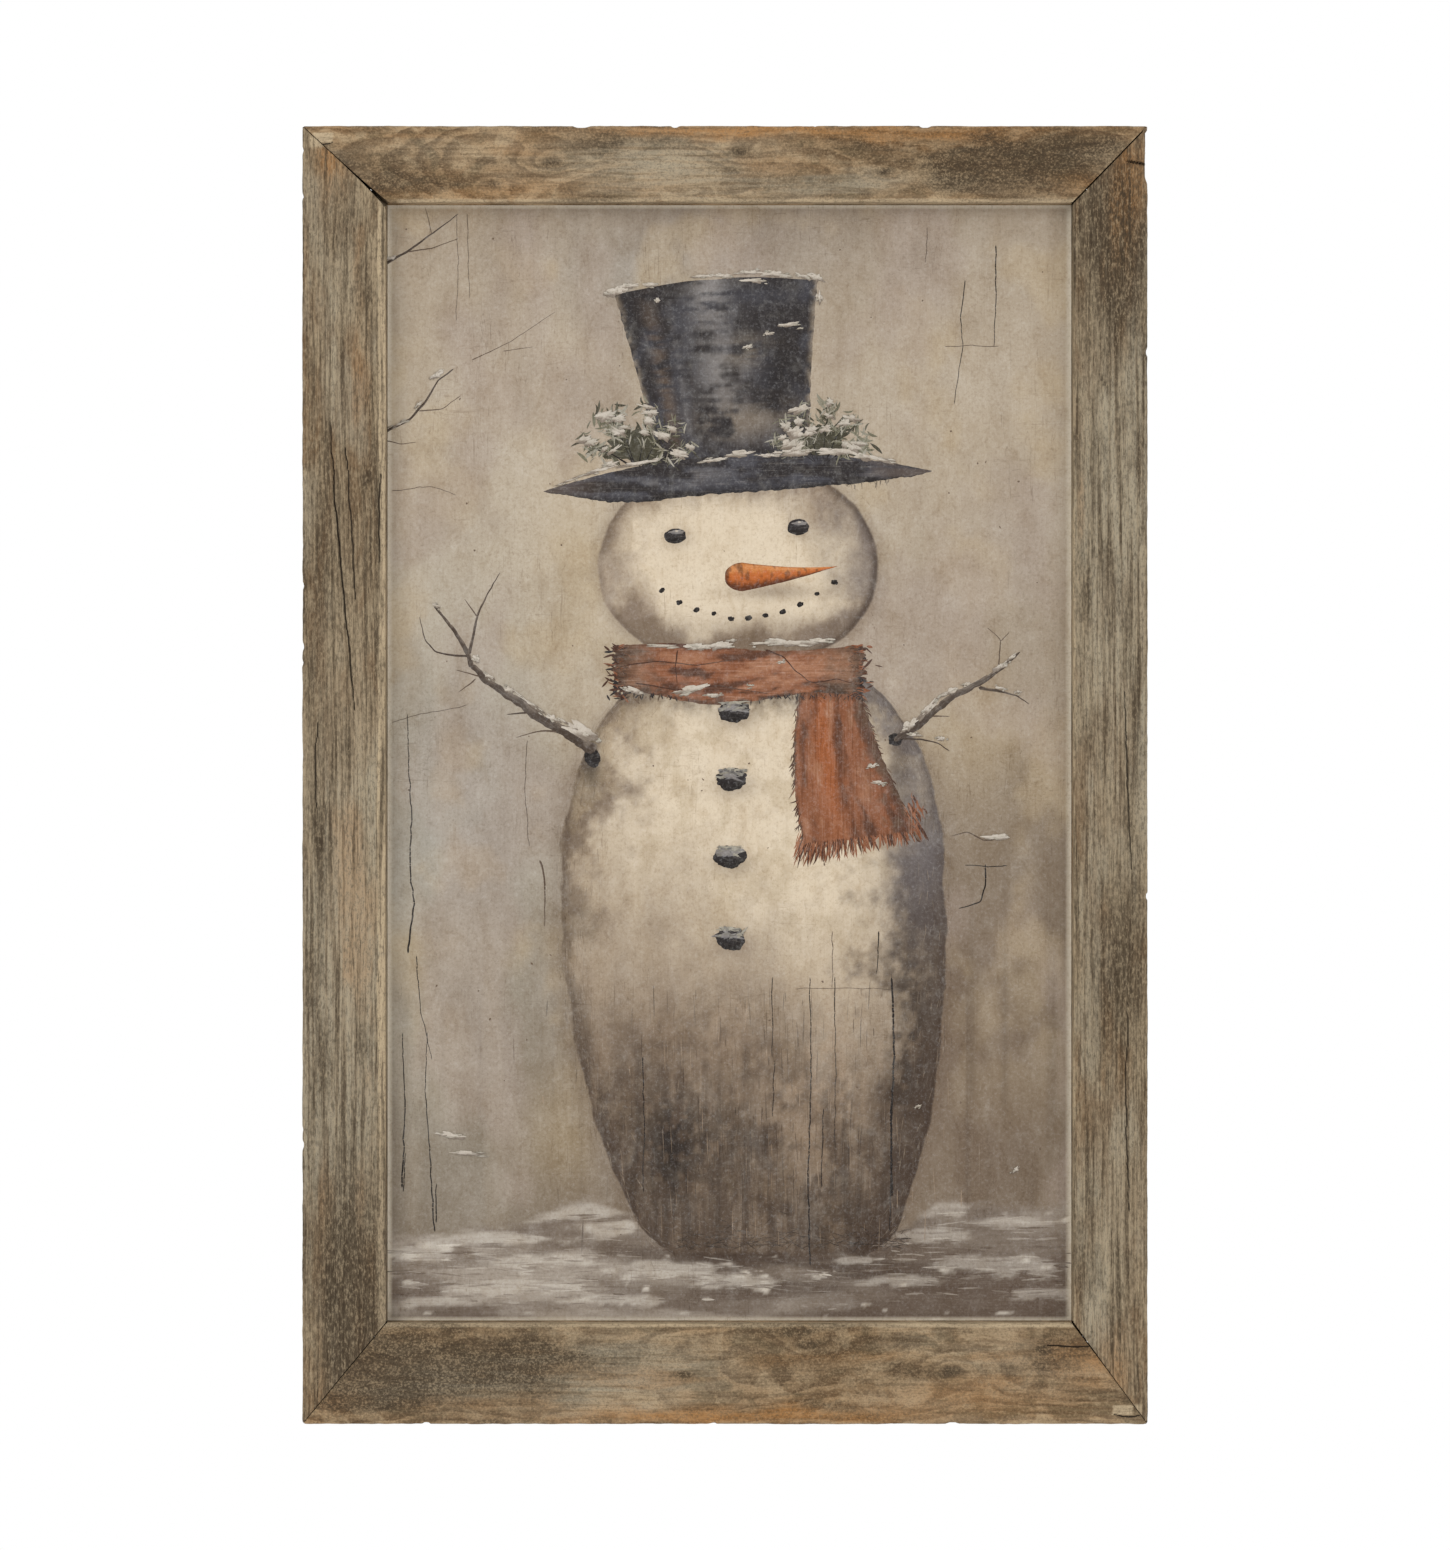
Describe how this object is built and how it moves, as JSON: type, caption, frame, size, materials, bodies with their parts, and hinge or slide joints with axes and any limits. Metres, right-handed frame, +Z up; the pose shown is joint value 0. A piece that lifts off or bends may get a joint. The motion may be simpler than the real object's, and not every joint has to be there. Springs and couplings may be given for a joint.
{
  "type": "framed wall picture",
  "caption": "Rustic reclaimed-wood picture frame with mitred rails holding a snowman print, backed by boards under turn buttons and hung by D-rings.",
  "frame": {"origin": "on the wall plane, midway between the two hanger rings", "axes": "+X to the viewer's right, +Y back into the wall, +Z up; the picture faces -Y"},
  "size_m": [0.381, 0.024, 0.585],
  "materials": {
    "weathered_wood": "rough sawn, weathered grey-brown, unvarnished",
    "printed_canvas": "matte printed canvas",
    "foam_board": "matte white paper faces",
    "hardboard": "pressed brown hardboard",
    "nail_steel": "bare steel",
    "button_steel": "plated sheet steel",
    "screw_zinc": "bright zinc plate",
    "hanger_nickel": "nickel plate",
    "bumper_rubber": "matte black rubber"
  },
  "bodies": {
    "frame": {"rail_bottom": "weathered_wood", "rail_right": "weathered_wood", "rail_top": "weathered_wood", "rail_left": "weathered_wood", "canvas_print": "printed_canvas", "mount_board": "foam_board", "backing_board": "hardboard", "corner_v_nails": "nail_steel", "corner_brads": "nail_steel", "turn_button_screws": "screw_zinc", "hanger_strap_left": "hanger_nickel", "hanger_strap_right": "hanger_nickel", "hanger_screws": "screw_zinc", "wall_bumpers": "bumper_rubber"},
    "button_left_upper": {"turn_button_left_upper": "button_steel"},
    "button_left_lower": {"turn_button_left_lower": "button_steel"},
    "button_right_upper": {"turn_button_right_upper": "button_steel"},
    "button_right_lower": {"turn_button_right_lower": "button_steel"},
    "button_top": {"turn_button_top": "button_steel"},
    "button_bottom": {"turn_button_bottom": "button_steel"},
    "ring_left": {"hanger_ring_left": "hanger_nickel"},
    "ring_right": {"hanger_ring_right": "hanger_nickel"}
  },
  "joints": [
    {"name": "button_left_upper_turn", "type": "hinge", "parent": "frame", "child": "button_left_upper", "pos_m": [-0.1665, -0.0044, 0.075], "axis": [0, 1, 0], "continuous": true},
    {"name": "button_left_lower_turn", "type": "hinge", "parent": "frame", "child": "button_left_lower", "pos_m": [-0.1665, -0.0044, -0.315], "axis": [0, 1, 0], "continuous": true},
    {"name": "button_right_upper_turn", "type": "hinge", "parent": "frame", "child": "button_right_upper", "pos_m": [0.1705, -0.0044, 0.075], "axis": [0, 1, 0], "continuous": true},
    {"name": "button_right_lower_turn", "type": "hinge", "parent": "frame", "child": "button_right_lower", "pos_m": [0.1705, -0.0044, -0.315], "axis": [0, 1, 0], "continuous": true},
    {"name": "button_top_turn", "type": "hinge", "parent": "frame", "child": "button_top", "pos_m": [0, -0.0044, 0.129], "axis": [0, 1, 0], "continuous": true},
    {"name": "button_bottom_turn", "type": "hinge", "parent": "frame", "child": "button_bottom", "pos_m": [0, -0.0044, -0.403], "axis": [0, 1, 0], "continuous": true},
    {"name": "ring_left_swing", "type": "hinge", "parent": "frame", "child": "ring_left", "pos_m": [-0.1615, -0.00292, 0], "axis": [0, 0, 1], "range_deg": [0, 160]},
    {"name": "ring_right_swing", "type": "hinge", "parent": "frame", "child": "ring_right", "pos_m": [0.1615, -0.00292, 0], "axis": [0, 0, -1], "range_deg": [0, 160]}
  ]
}
